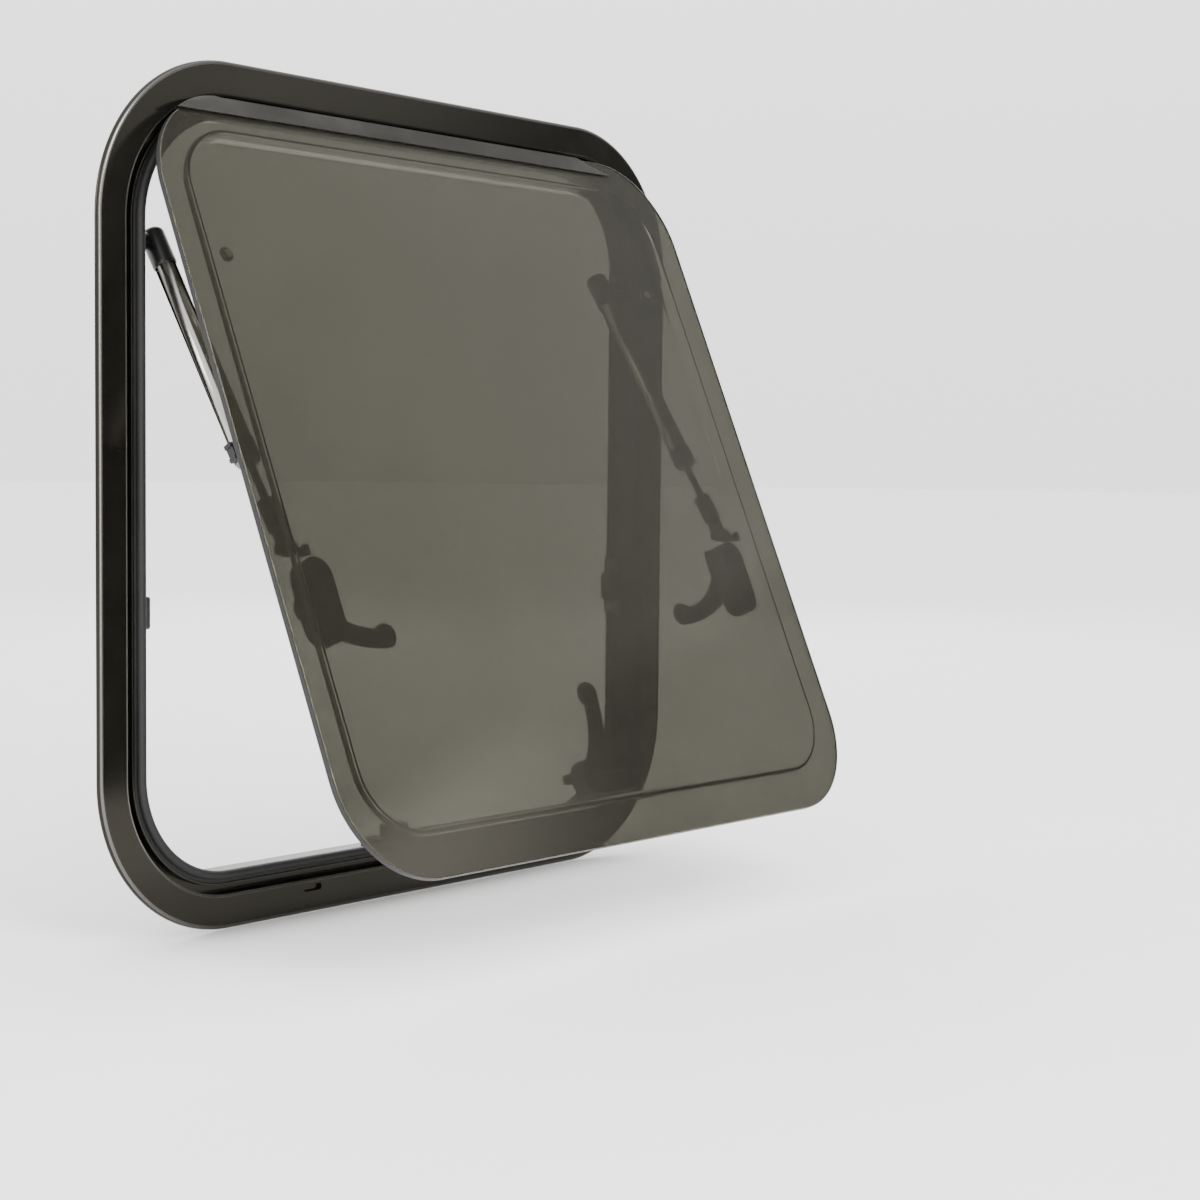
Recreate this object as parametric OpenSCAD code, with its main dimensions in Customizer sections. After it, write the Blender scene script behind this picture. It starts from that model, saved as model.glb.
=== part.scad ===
// Top-hung caravan window: an aluminium outer frame with a smoked double-skin sash,
// shown standing open on its two telescopic stays.
// X runs to the right seen from outside, Y into the vehicle, Z up.
// The origin is on the back face of the lower flange, half way along it.

/* [Frame] */
// Width of the frame over its flange
frame_w = 550; // [470:5:900]
// Height of the frame over its flange
frame_h = 550; // [540:5:700]
// Outer radius of the frame's corners
corner_r = 104; // [80:2:140]
// Width of the flange's flat front
flange_w = 21; // [19:0.5:24]
// Thickness of the flange
flange_t = 3.2; // [2.6:0.2:3.4]
// Rounding of the flange's outer edge
edge_r = 2.4; // [1.6:0.2:2.4]
// Width of the rounded lip along the flange's inner edge
lip_w = 1.6; // [1:0.2:2.5]
// Thickness of the profile's walls
wall_t = 1.8; // [1.4:0.2:2.4]
// Width of the gutter behind the flange
gutter_w = 5.2; // [5:0.2:7]
// Depth of the gutter behind the wall plane
gutter_depth = 6.5; // [5.5:0.5:8]
// Depth of the inner wall behind the wall plane
frame_depth = 24; // [24:1:40]
// Depth of the outer wall behind the wall plane
body_depth = 16; // [12:1:24]
// Height of the datum above the frame's lower edge
datum_up = 10; // [6:1:16]
// Length of each drain slot
drain_l = 16; // [8:1:24]
// Height of each drain slot
drain_h = 4.5; // [3:0.5:6]
// Distance of each drain slot from the middle
drain_x = 98; // [60:1:140]

/* [Seal] */
// Width of the seal's foot
seal_w = 5.5; // [4.5:0.5:7]
// Radius of the seal's bulb
seal_r = 3; // [2.5:0.25:3.5]
// Clearance between the bulb and the closed sash
seal_gap = 0.4; // [0.3:0.1:1]

/* [Sash] */
// Distance of the sash's side edges in from the frame's
sash_in = 25; // [25:0.5:30]
// Distance of the sash's lower edge up from the frame's
sash_up = 17; // [16:0.5:18]
// Radius of the sash's corners
sash_r = 65; // [50:1:80]
// Thickness of the outer sheet
outer_t = 2.5; // [2:0.5:3.5]
// Thickness of the formed inner sheet
inner_t = 2; // [1.5:0.5:2.5]
// Thickness of the sash over both sheets
sash_t = 12; // [11:0.5:14]
// Width of the bonded margin above and beside the raised tray
margin_w = 22; // [20:1:26]
// Width of the bonded margin below the raised tray
margin_low = 28; // [27:1:32]
// Radius of the raised tray's corners
tray_r = 45; // [36:1:56]
// Angle at which the sash stands open
open_deg = 23; // [0:0.5:35]

/* [Hinge] */
// Depth of the hinge pivot behind the wall plane
hinge_y = 0.8; // [0.6:0.1:1]
// Distance from the hinge pivot out to the sash's outer face
hinge_out = 9.1; // [9:0.1:10]
// Distance from the hinge pivot down to the sash's upper edge
hinge_to_top = 4.8; // [4.6:0.1:5.2]
// Radius of the hinge bead
bead_r = 1.5; // [1.4:0.1:1.6]
// Clearance round the hinge bead
bead_gap = 0.3; // [0.2:0.1:0.4]
// Height of the hinge strip on the sash
strip_h = 10.5; // [8:0.5:14]
// Thickness of the hinge strip's leaves
strip_t = 1.2; // [0.8:0.2:2]

/* [Stays] */
// Distance of each stay in from the sash's side edge
stay_in = 34; // [33:0.5:36]
// Height of the stay's upper pivot below the frame's rounded corner
stay_below = 11.2; // [11:0.1:20]
// Depth of the stay's upper pivot behind the wall plane
stay_y = 15; // [14.5:0.5:16]
// Distance from a side catch's end up to the stay's lower pivot
stay_up = 9; // [9:0.5:20]
// Height of the stay's lower pivot above the sash's inner face
stay_stand = 10.5; // [10:0.5:12]
// Diameter of the stay's tube
tube_d = 15; // [12:0.5:15]
// Thickness of the tube's wall
tube_t = 1; // [0.8:0.1:1.4]
// Share of the open stay's length from its upper pivot to its mouth
mouth_at = 0.736; // [0.7:0.01:0.74]
// Diameter of the stay's rod
rod_d = 5; // [4:0.5:6]
// Share of the open stay's length that its rod takes up
rod_share = 0.655; // [0.6:0.01:0.66]
// Diameter of the pivot pins
pin_d = 5; // [4:0.5:6]
// Clearance of pins and rods in their bores
pin_gap = 0.3; // [0.2:0.1:0.5]

/* [Catches] */
// Distance of the side catches in from the sash's side edges
catch_in = 43; // [42:0.5:44]
// Share of the sash's height from its top down to the side catches
catch_at = 0.6505; // [0.64:0.01:0.67]
// Height of the lower catch above the sash's lower edge
catch_up = 48; // [48:1:56]
// Length of the catch base
base_l = 54; // [46:1:60]
// Width of the catch base
base_w = 24; // [22:1:26]
// Height of the catch base
base_h = 13; // [11:0.5:13]
// Diameter of the lever's spindle
spindle_d = 8; // [6:0.5:9]
// Thickness of the lever
lever_t = 6; // [5:0.5:6]
// Distance from the spindle to the far end of the lever's grip
grip_l = 65; // [58:1:70]
// Thickness of the lever's tongue
tongue_t = 4; // [3:0.5:4]
// Length of the lever's tongue
tongue_l = 26.5; // [25:0.5:27]
// Length of each striker plate
striker_l = 44; // [36:1:60]
// Height of the striker block over the frame's inner wall
striker_h = 12; // [8:0.5:12]

/* [Hidden] */
$fn = 64;

// Distances in from the frame's outer edge
gutter_in = flange_w + lip_w;
rib_out = gutter_in + gutter_w;
rib_in = rib_out + wall_t;
wall_in = rib_in + seal_w;
seat_y = gutter_depth;
// Half of the clear opening's width
reveal_x = frame_w / 2 - wall_in;
sash_w = frame_w - 2 * sash_in;
stay_x = sash_w / 2 - stay_in;
catch_x = sash_w / 2 - catch_in;
// Heights above the datum
centre_z = frame_h / 2 - datum_up;
hinge_z = frame_h - datum_up - gutter_in - gutter_w / 2;
sash_h = hinge_z - hinge_to_top + datum_up - sash_up;
// Depths and heights in the closed sash, measured from the hinge pivot
face_y = -hinge_out;
rim_y = face_y + outer_t + inner_t;
inner_y = face_y + sash_t;
base_y = inner_y + base_h;
lever_run = 0.5;
lever_y = base_y + lever_run + lever_t;
tongue_y = lever_y - tongue_t;
sash_top = -hinge_to_top;
sash_low = sash_top - sash_h;
sash_mid = (sash_top + sash_low) / 2;
catch_low = sash_low + catch_up;
catch_down = hinge_to_top + catch_at * sash_h;
stay_drop = corner_r - gutter_in - gutter_w / 2 + stay_below;
stay_reach = catch_down - base_l / 2 - stay_up;
// Small step that keeps a cutting shape from ending on the face that it cuts
eps = 0.05;

// The upper and lower pivots of the stays, from the hinge pivot with the sash open
stay_top = [stay_y - hinge_y, -stay_drop];
stay_low_closed = [inner_y + stay_stand, -stay_reach];
stay_low = [
    stay_low_closed.x * cos(open_deg) + stay_low_closed.y * sin(open_deg),
    -stay_low_closed.x * sin(open_deg) + stay_low_closed.y * cos(open_deg)
];
stay_span = norm(stay_low - stay_top);
stay_deg = atan2(stay_top.x - stay_low.x, stay_top.y - stay_low.y);
stay_l = mouth_at * stay_span;
rod_l = rod_share * stay_span;

function arc(cx, cy, r, a0, a1, n = 12) =
    [for (i = [0:n]) let (a = a0 + (a1 - a0) * i / n) [cx + r * cos(a), cy + r * sin(a)]];

// Section of the frame: x runs in from the outer edge, y into the vehicle
frame_section = concat(
    [[0, 0]],
    arc(edge_r, edge_r - flange_t, edge_r, 180, 270),
    [
        [flange_w, -flange_t], [gutter_in, -flange_t + 0.8], [gutter_in, seat_y],
        [rib_out, seat_y], [rib_out, 0], [rib_in, 0], [rib_in, seat_y],
        [wall_in, seat_y], [wall_in, frame_depth], [wall_in - wall_t, frame_depth],
        [wall_in - wall_t, seat_y + wall_t], [gutter_in, seat_y + wall_t],
        [gutter_in, body_depth], [gutter_in - wall_t, body_depth], [gutter_in - wall_t, 0]
    ]
);

// Carries its children as a closed loop round the frame's straight sides and corners.
// Children: 0 is the straight section, 1 the same section seen from the corner's centre.
module loop(w, h, r) {
    for (k = [0:3]) {
        long = k % 2 == 0 ? w : h;
        tall = k % 2 == 0 ? h : w;
        rotate([0, 90 * k, 0]) {
            translate([0, 0, tall / 2]) rotate([0, 90, 0])
                linear_extrude(long - 2 * r, center = true) children(0);
            translate([long / 2 - r, 0, tall / 2 - r]) rotate([0, -90, 0]) rotate([-90, 0, 0])
                rotate_extrude(angle = 90) translate([r, 0]) mirror([1, 0]) children(0);
        }
    }
}

module round_rect(w, h, r) {
    square([w - 2 * r, h], center = true);
    square([w, h - 2 * r], center = true);
    for (x = [-1, 1], y = [-1, 1]) translate([x * (w / 2 - r), y * (h / 2 - r)]) circle(r);
}

// A flat shape in the sash's plane, from depth y0 to depth y1
module sheet(y0, y1) {
    translate([0, y1, 0]) rotate([90, 0, 0]) linear_extrude(y1 - y0) children();
}

// Places children that are drawn from the hinge pivot with the sash closed
module on_sash() {
    translate([0, hinge_y, hinge_z]) rotate([-open_deg, 0, 0]) children();
}

// Places children that are drawn from a stay's upper pivot, hanging down
module on_stay(side) {
    translate([side * stay_x, stay_y, hinge_z - stay_drop]) rotate([-stay_deg, 0, 0]) children();
}

module outer_frame() {
    color([0.13, 0.125, 0.12]) translate([0, 0, centre_z]) difference() {
        loop(frame_w, frame_h, corner_r) polygon(frame_section);
        for (side = [-1, 1]) drain_slot(side);
    }
}

// A slot in the lower flange with a flat duct from the gutter
module drain_slot(side) {
    slot_z = -frame_h / 2 + flange_w - drain_h - 2;
    skin = 0.8;
    translate([side * drain_x - drain_l / 2, -flange_t - eps, slot_z])
        cube([drain_l, flange_t - skin + eps, drain_h]);
    translate([side * drain_x - drain_l / 2, -flange_t + skin, slot_z])
        cube([drain_l, flange_t - 2 * skin, gutter_in - flange_w + drain_h + 2 + eps]);
}

module seal_section() {
    bulb_y = hinge_y + rim_y + seal_gap + seal_r;
    bulb_x = wall_in - 0.4;
    translate([rib_in, 1]) square([seal_w, seat_y - 1]);
    translate([bulb_x, bulb_y]) circle(seal_r);
}

module weather_seal() {
    color([0.2, 0.2, 0.2]) translate([0, 0, centre_z])
        loop(frame_w, frame_h, corner_r) seal_section();
}

rail_l = frame_w - 2 * corner_r;

// A C-shaped rail in the upper gutter that the sash's bead turns in
module hinge_rail() {
    bore_r = bead_r + bead_gap;
    out_r = gutter_w / 2 - 0.1;
    leg_t = 1.4;
    color([0.3, 0.29, 0.28])
        translate([-rail_l / 2, hinge_y, hinge_z]) rotate([90, 0, 90]) linear_extrude(rail_l) {
            difference() {
                union() {
                    circle(out_r);
                    translate([0, -leg_t / 2]) square([seat_y - hinge_y, leg_t]);
                }
                circle(bore_r);
                // Mouth that the bead's web passes through
                polygon([[0, 0], 8 * [cos(166), sin(166)], [-12, -12], 8 * [cos(256), sin(256)]]);
            }
        }
}

// A striker on the frame's inner wall: a plate, a block with its screws
module striker() {
    plate_t = 2;
    block_l = 20.5;
    block_y0 = seat_y + 2;
    block_y1 = hinge_y + tongue_y - 1;
    plate_y1 = frame_depth - 1;
    translate([0, block_y0, -striker_l / 2]) cube([plate_t, plate_y1 - block_y0, striker_l]);
    translate([0, block_y0, -block_l / 2]) cube([striker_h, block_y1 - block_y0, block_l]);
    for (s = [-1, 1]) translate([plate_t - eps, (block_y0 + plate_y1) / 2, s * (striker_l / 2 - 6)])
        rotate([0, 90, 0]) cylinder(h = 1.2, r = 3);
}

side_striker_z = hinge_z - catch_down + 12;

module striker_left() {
    color([0.12, 0.12, 0.12]) translate([-reveal_x, 0, side_striker_z]) striker();
}

module striker_right() {
    color([0.12, 0.12, 0.12]) translate([reveal_x, 0, side_striker_z]) mirror([1, 0, 0]) striker();
}

module striker_bottom() {
    color([0.12, 0.12, 0.12]) translate([-6, 0, -datum_up + wall_in]) rotate([0, -90, 0]) striker();
}

// Plate and pin on the frame's inner wall that carry a stay's upper end
module stay_mount() {
    plate_t = 2;
    pin_len = reveal_x - stay_x + tube_d / 2 + 3;
    boss_len = reveal_x - stay_x - tube_d / 2 - 0.6;
    translate([-plate_t, -8, -18]) cube([plate_t, 16, 28]);
    rotate([0, -90, 0]) cylinder(h = boss_len, r = 5.5);
    rotate([0, -90, 0]) cylinder(h = pin_len, r = pin_d / 2);
    translate([-pin_len, 0, 0]) rotate([0, -90, 0]) cylinder(h = 1.5, r = 4);
}

module stay_mount_right() {
    color([0.15, 0.15, 0.15]) translate([reveal_x, stay_y, hinge_z - stay_drop]) stay_mount();
}

module stay_mount_left() {
    color([0.15, 0.15, 0.15]) translate([-reveal_x, stay_y, hinge_z - stay_drop])
        mirror([1, 0, 0]) stay_mount();
}

module outer_pane() {
    color([0.3, 0.28, 0.25], 0.6) on_sash() translate([0, 0, sash_mid])
        sheet(face_y, face_y + outer_t) round_rect(sash_w, sash_h, sash_r);
}

plug_x = sash_w / 2 - 44;
plug_down = 108;
plug_hole_d = 6;

// The formed sheet: a bonded rim, a wall and the raised tray
module inner_pane() {
    tray_w = sash_w - 2 * margin_w;
    tray_h = sash_h - margin_w - margin_low;
    tray_mid = (margin_low - margin_w) / 2;
    color([0.33, 0.31, 0.28], 0.6) on_sash() difference() {
        translate([0, 0, sash_mid]) difference() {
            union() {
                sheet(face_y + outer_t, rim_y) round_rect(sash_w, sash_h, sash_r);
                sheet(face_y + outer_t, inner_y) translate([0, tray_mid]) round_rect(tray_w, tray_h, tray_r);
            }
            sheet(face_y + outer_t - eps, inner_y - inner_t) translate([0, tray_mid])
                round_rect(tray_w - 2 * inner_t, tray_h - 2 * inner_t, tray_r - inner_t);
        }
        for (side = [-1, 1]) translate([side * plug_x, inner_y + 1, -plug_down])
            rotate([90, 0, 0]) cylinder(h = inner_t + 2, d = plug_hole_d);
    }
}

// A plug with a round cap in the breather hole of the inner sheet
module vent_plug(side) {
    color([0.1, 0.1, 0.1]) on_sash() translate([side * plug_x, inner_y, -plug_down]) rotate([-90, 0, 0]) {
        translate([0, 0, -inner_t - 1]) cylinder(h = inner_t + 1, d = plug_hole_d - 0.4);
        cylinder(h = 2, d = 10);
    }
}

// The aluminium strip that caps the sash's upper edge and carries the hinge bead
module hinge_strip() {
    leaf_y = rim_y + strip_t;
    lap = 1.2;
    web = [leaf_y - 0.3, sash_top + 0.2];
    web_side = 0.5 * [-web.y, web.x] / norm(web);
    color([0.45, 0.44, 0.42]) on_sash() {
        intersection() {
            translate([-sash_w / 2, 0, 0]) rotate([90, 0, 90]) linear_extrude(sash_w) polygon([
                [face_y - strip_t, sash_top + strip_t], [leaf_y, sash_top + strip_t],
                [leaf_y, sash_top - lap], [rim_y, sash_top - lap],
                [rim_y, sash_top], [face_y, sash_top],
                [face_y, sash_top - strip_h], [face_y - strip_t, sash_top - strip_h]
            ]);
            translate([0, 0, sash_mid]) sheet(face_y - 5, rim_y + 5)
                round_rect(sash_w + 2 * strip_t, sash_h + 2 * strip_t, sash_r + strip_t);
        }
        // Bead and its web along the rail
        translate([-rail_l / 2, 0, 0]) rotate([90, 0, 90]) linear_extrude(rail_l) {
            circle(bead_r);
            polygon([web_side, -web_side, web - web_side, web + web_side]);
        }
    }
}

// An oblong base bonded to the inner sheet, with the spindle that its lever turns on
module catch_base() {
    head_t = 1.6;
    head_y = base_h + lever_t + 2 * lever_run;
    translate([0, inner_y, 0]) rotate([-90, 0, 0]) {
        linear_extrude(base_h) {
            square([base_w, base_l - base_w], center = true);
            for (s = [-1, 1]) translate([0, s * (base_l - base_w) / 2]) circle(base_w / 2);
        }
        cylinder(h = head_y, d = spindle_d);
        translate([0, 0, head_y]) cylinder(h = head_t, d = spindle_d + 5);
    }
}

// A flat shape of the lever with its rear face at depth y
module slab(y, t) {
    translate([0, y, 0]) rotate([90, 0, 0]) linear_extrude(t) children();
}

// Seen from outside with the tongue up and the grip to the right
module lever() {
    hub_r = 9;
    bulb_r = 7;
    bulb = [grip_l - bulb_r, -0.315 * grip_l];
    under_c = grip_l * [0.914, 1.209];
    under_r = grip_l * 1.631;
    over_c = grip_l * [0.794, 0.611];
    over_r = grip_l * 0.871;
    tongue_x = 2.8;
    tongue_w = 6.4;
    tip_r = 1.5;
    difference() {
        union() {
            slab(lever_y, lever_t) {
                circle(hub_r);
                // Arm that bends between two arcs from the hub into the grip
                intersection() {
                    difference() {
                        translate(under_c) circle(under_r, $fn = 256);
                        translate(over_c) circle(over_r, $fn = 192);
                    }
                    translate([0, -grip_l]) square([bulb.x, grip_l + hub_r / 1.5]);
                }
                translate(bulb) circle(bulb_r);
            }
            slab(lever_y, tongue_t) {
                translate([tongue_x - tongue_w / 2, 0]) square([tongue_w, tongue_l - tip_r]);
                translate([tongue_x - tongue_w / 2 + tip_r, 0]) square([tongue_w - 2 * tip_r, tongue_l]);
                for (s = [-1, 1]) translate([tongue_x + s * (tongue_w / 2 - tip_r), tongue_l - tip_r])
                    circle(tip_r);
            }
        }
        slab(lever_y + 1, lever_t + 2) circle(d = spindle_d + 2 * pin_gap);
    }
}

module at_left() {
    on_sash() translate([-catch_x, 0, -catch_down]) children();
}

module at_right() {
    on_sash() translate([catch_x, 0, -catch_down]) mirror([1, 0, 0]) children();
}

module at_bottom() {
    on_sash() translate([0, 0, catch_low]) rotate([0, -90, 0]) children();
}

eye_t = 4;
arm_gap = 1.5;
arm_t = 2;
arm_out = eye_t / 2 + arm_gap + arm_t;

// Bent bracket on the sash: two tabs and two arms that the stay's eye hangs between
module stay_bracket() {
    tab_w = 5;
    tab_l = 13;
    low = -stay_reach - 8;
    for (s = [-1, 1]) translate([s * (arm_out - arm_t / 2), inner_y, 0]) {
        translate([-arm_t / 2, 0, low]) cube([arm_t, stay_stand, 13]);
        translate([-arm_t / 2, stay_stand, -stay_reach]) rotate([0, 90, 0]) cylinder(h = arm_t, r = 5);
        translate([s * (tab_w - arm_t) / 2 - tab_w / 2, 0, low]) cube([tab_w, arm_t, tab_l]);
        // Rivet head
        translate([s * (arm_t / 2 + 0.6), stay_stand, -stay_reach]) rotate([0, 90, 0])
            cylinder(h = 1.3, r = 3, center = true);
    }
    translate([-arm_out + eps, inner_y, low]) cube([2 * arm_out - 2 * eps, 4, arm_t]);
}

module stay_bracket_left() {
    color([0.12, 0.12, 0.12]) on_sash() translate([-stay_x, 0, 0]) stay_bracket();
}

module stay_bracket_right() {
    color([0.12, 0.12, 0.12]) on_sash() translate([stay_x, 0, 0]) stay_bracket();
}

cap_r = tube_d / 2 + 0.6;
cap_l = 20;
socket_up = 14;

module stay_cap(side) {
    color([0.1, 0.1, 0.1]) on_stay(side) difference() {
        union() {
            rotate([0, 90, 0]) cylinder(h = tube_d, r = cap_r, center = true);
            translate([0, 0, -cap_l]) cylinder(h = cap_l, r = cap_r);
        }
        rotate([0, 90, 0]) cylinder(h = tube_d + 4, d = pin_d + 2 * pin_gap, center = true);
        translate([0, 0, -cap_l - eps]) cylinder(h = cap_l - socket_up + eps, d = tube_d);
    }
}

collar_l = 16;
lip_l = 5;

module stay_tube(side) {
    color([0.75, 0.75, 0.75]) on_stay(side) translate([0, 0, -stay_l + lip_l]) difference() {
        cylinder(h = stay_l - lip_l - socket_up, d = tube_d);
        translate([0, 0, -eps]) cylinder(h = stay_l, d = tube_d - 2 * tube_t);
    }
}

// Collar over the tube's lower end with a bored lip that guides the rod
module stay_collar(side) {
    color([0.1, 0.1, 0.1]) on_stay(side) translate([0, 0, -stay_l]) difference() {
        union() {
            translate([0, 0, 2]) cylinder(h = collar_l - 2, r = cap_r);
            cylinder(h = 2, r1 = cap_r - 2, r2 = cap_r);
        }
        translate([0, 0, lip_l]) cylinder(h = collar_l, d = tube_d);
        translate([0, 0, -eps]) cylinder(h = collar_l, d = rod_d + 2 * pin_gap);
    }
}

// Small catch on the collar's outboard side
module stay_clip(side) {
    color([0.08, 0.08, 0.08]) on_stay(side) mirror([side < 0 ? 1 : 0, 0, 0])
        translate([cap_r, -3, -stay_l + 3]) difference() {
            cube([3, 6, 12]);
            translate([2, -1, 3]) cube([2, 8, 6]);
        }
}

// Distances up the rod from the eye's centre to the sleeve, and the sleeve's own size
neck_l = 13;
sleeve_l = 20;
sleeve_d = 12;
rod_in = 12;

module stay_rod(side) {
    foot = neck_l + sleeve_l - rod_in;
    color([0.35, 0.35, 0.35]) on_stay(side) translate([0, 0, -stay_span + foot])
        cylinder(h = rod_l - foot, d = rod_d);
}

// Sleeve on the rod's end, flattened into the eye that hangs in the sash bracket
module stay_fork(side) {
    eye_r = 4.5;
    color([0.15, 0.15, 0.15]) on_stay(side) translate([0, 0, -stay_span]) {
        rotate([0, 90, 0]) cylinder(h = eye_t, r = eye_r, center = true);
        translate([-eye_t / 2, -eye_r, 0]) cube([eye_t, 2 * eye_r, neck_l + 1]);
        difference() {
            translate([0, 0, neck_l]) cylinder(h = sleeve_l, d = sleeve_d);
            translate([0, 0, neck_l + sleeve_l - rod_in]) cylinder(h = sleeve_l, d = rod_d);
        }
    }
}

outer_frame();
weather_seal();
hinge_rail();
striker_left();
striker_right();
striker_bottom();
stay_mount_left();
stay_mount_right();
outer_pane();
inner_pane();
hinge_strip();
vent_plug(-1);  // vent_plug_left
vent_plug(1);  // vent_plug_right
color([0.1, 0.1, 0.1]) at_left() catch_base();  // catch_base_left
color([0.1, 0.1, 0.1]) at_right() catch_base();  // catch_base_right
color([0.1, 0.1, 0.1]) at_bottom() catch_base();  // catch_base_bottom
stay_bracket_left();
stay_bracket_right();
stay_cap(-1);  // stay_cap_left
stay_cap(1);  // stay_cap_right
stay_tube(-1);  // stay_tube_left
stay_tube(1);  // stay_tube_right
stay_collar(-1);  // stay_collar_left
stay_collar(1);  // stay_collar_right
stay_clip(-1);  // stay_clip_left
stay_clip(1);  // stay_clip_right
stay_rod(-1);  // stay_rod_left
stay_rod(1);  // stay_rod_right
stay_fork(-1);  // stay_fork_left
stay_fork(1);  // stay_fork_right
color([0.08, 0.08, 0.08]) at_left() lever();  // lever_left
color([0.08, 0.08, 0.08]) at_right() lever();  // lever_right
color([0.08, 0.08, 0.08]) at_bottom() lever();  // lever_bottom
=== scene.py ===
"""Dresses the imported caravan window: frame, seal, panes, hinge strip, stays, catches and a pale stage."""

import math

import bmesh
import bpy
import numpy as np
from bpy.props import FloatProperty, FloatVectorProperty, IntProperty, PointerProperty
from mathutils import Matrix, Vector


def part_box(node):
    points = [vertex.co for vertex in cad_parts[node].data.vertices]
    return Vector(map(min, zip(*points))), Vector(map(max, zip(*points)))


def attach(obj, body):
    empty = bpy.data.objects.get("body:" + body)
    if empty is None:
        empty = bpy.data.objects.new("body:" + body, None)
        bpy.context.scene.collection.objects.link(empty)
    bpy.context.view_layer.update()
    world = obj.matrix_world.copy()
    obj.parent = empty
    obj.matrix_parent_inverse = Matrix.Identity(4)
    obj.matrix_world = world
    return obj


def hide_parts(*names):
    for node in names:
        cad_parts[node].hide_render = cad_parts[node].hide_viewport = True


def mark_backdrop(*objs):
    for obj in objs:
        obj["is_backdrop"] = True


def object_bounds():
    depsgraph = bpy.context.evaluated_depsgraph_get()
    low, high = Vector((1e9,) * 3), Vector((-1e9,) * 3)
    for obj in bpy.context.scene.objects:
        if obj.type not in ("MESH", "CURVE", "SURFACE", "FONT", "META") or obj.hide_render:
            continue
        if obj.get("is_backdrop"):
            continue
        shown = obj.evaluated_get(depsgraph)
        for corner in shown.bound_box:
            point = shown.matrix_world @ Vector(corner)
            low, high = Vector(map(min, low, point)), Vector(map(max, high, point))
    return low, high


bl_info = {
    "name": "Caravan window looks",
    "version": (1, 0, 0),
    "blender": (4, 5, 0),
    "location": "View3D > Sidebar > Window",
    "description": "Builds the visible pieces and finishes of a top-hung caravan window",
    "category": "Add Mesh",
}

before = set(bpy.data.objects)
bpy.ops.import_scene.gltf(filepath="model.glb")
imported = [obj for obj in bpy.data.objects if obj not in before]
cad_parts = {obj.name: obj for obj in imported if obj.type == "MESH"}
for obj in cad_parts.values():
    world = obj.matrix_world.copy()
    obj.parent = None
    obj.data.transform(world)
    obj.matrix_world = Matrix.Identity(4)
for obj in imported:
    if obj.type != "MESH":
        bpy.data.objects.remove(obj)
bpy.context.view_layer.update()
MM = 0.001
SIDES = (("left", -1), ("right", 1))

# The frame's outer corner radius
FRAME_R = 104 * MM
# Places of the frame's inner walls, on x to either side and on z at the bottom, and of the side and the
# bottom striker along them, in millimetres
WALL_X, WALL_Z = 239.9, 25.1
STRIKER_Z, STRIKER_X = 194.8, -6
# The hinge pivot, as (depth, height), and the angle at which the sash stands open
HINGE = np.array([0.8, 514.8]) * MM
OPEN = math.radians(23.0)
# The upper pivot of the stays, as (depth, height), and the lower one in the sash's own plane
STAY_TOP = np.array([15.0, 424.8]) * MM
STAY_LOW = np.array([13.4, -296.0]) * MM
STAY_X = 216 * MM
# Half width over a stay bracket's two webs, and their thickness, in millimetres
ARM_OUT, ARM_T = 5.5, 2.0
# The sash's sides and corner radius, and from the pivot its outer face's depth, its top and its middle
SASH_W, SASH_H, SASH_R = 500 * MM, 503 * MM, 65 * MM
FACE, SASH_TOP = -9.1 * MM, -4.8 * MM
MIDDLE = SASH_TOP - SASH_H / 2
# Depth of the raised tray's inner face, on which catches and brackets stand, in millimetres
TRAY = 2.9
# A catch's place from the sash's middle line and below the pivot, and the lowest one's, in millimetres
CATCH_X, CATCH_Z, CATCH_LOW = 207, 332, 459.8


def on_sash(p):
    """Carries points drawn with the sash closed, from its hinge pivot, to the open sash: depth and height
    turn about the pivot by the opening angle."""
    c, s = math.cos(OPEN), math.sin(OPEN)
    y, z = p[..., 1], p[..., 2]
    return np.stack([p[..., 0], HINGE[0] + y * c + z * s, HINGE[1] - y * s + z * c], -1)


# From a stay's upper pivot to its lower one, as (depth, height), and the stay's angle from the vertical
STAY = on_sash(np.array([0, *STAY_LOW]))[1:] - STAY_TOP
STAY_ANGLE = math.atan2(-STAY[0], -STAY[1])


def on_stay(p, side):
    """Carries points drawn hanging straight down from a stay's upper pivot to the stay's own line."""
    c, s = math.cos(STAY_ANGLE), math.sin(STAY_ANGLE)
    y, z = p[..., 1], p[..., 2]
    return np.stack([p[..., 0] + side * STAY_X, STAY_TOP[0] + y * c + z * s, STAY_TOP[1] - y * s + z * c], -1)


# Shapes


def rounded(points, radius, steps):
    """A closed outline with its corners rounded: each corner is a quadratic curve from radius before it
    to radius after it along its two edges, or less where an edge is short."""
    p = np.asarray(points, float)
    r = np.broadcast_to(np.asarray(radius, float), (len(p),))
    back, on = np.roll(p, 1, 0) - p, np.roll(p, -1, 0) - p
    lb, lo = np.linalg.norm(back, axis=1), np.linalg.norm(on, axis=1)
    r = np.minimum(r, np.minimum(lb, lo) * 0.45)
    a, b = p + back / lb[:, None] * r[:, None], p + on / lo[:, None] * r[:, None]
    t = np.linspace(0, 1, steps + 1)[None, :, None]
    curve = a[:, None] * (1 - t) ** 2 + 2 * p[:, None] * t * (1 - t) + b[:, None] * t**2
    return curve.reshape(-1, 2)


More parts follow.
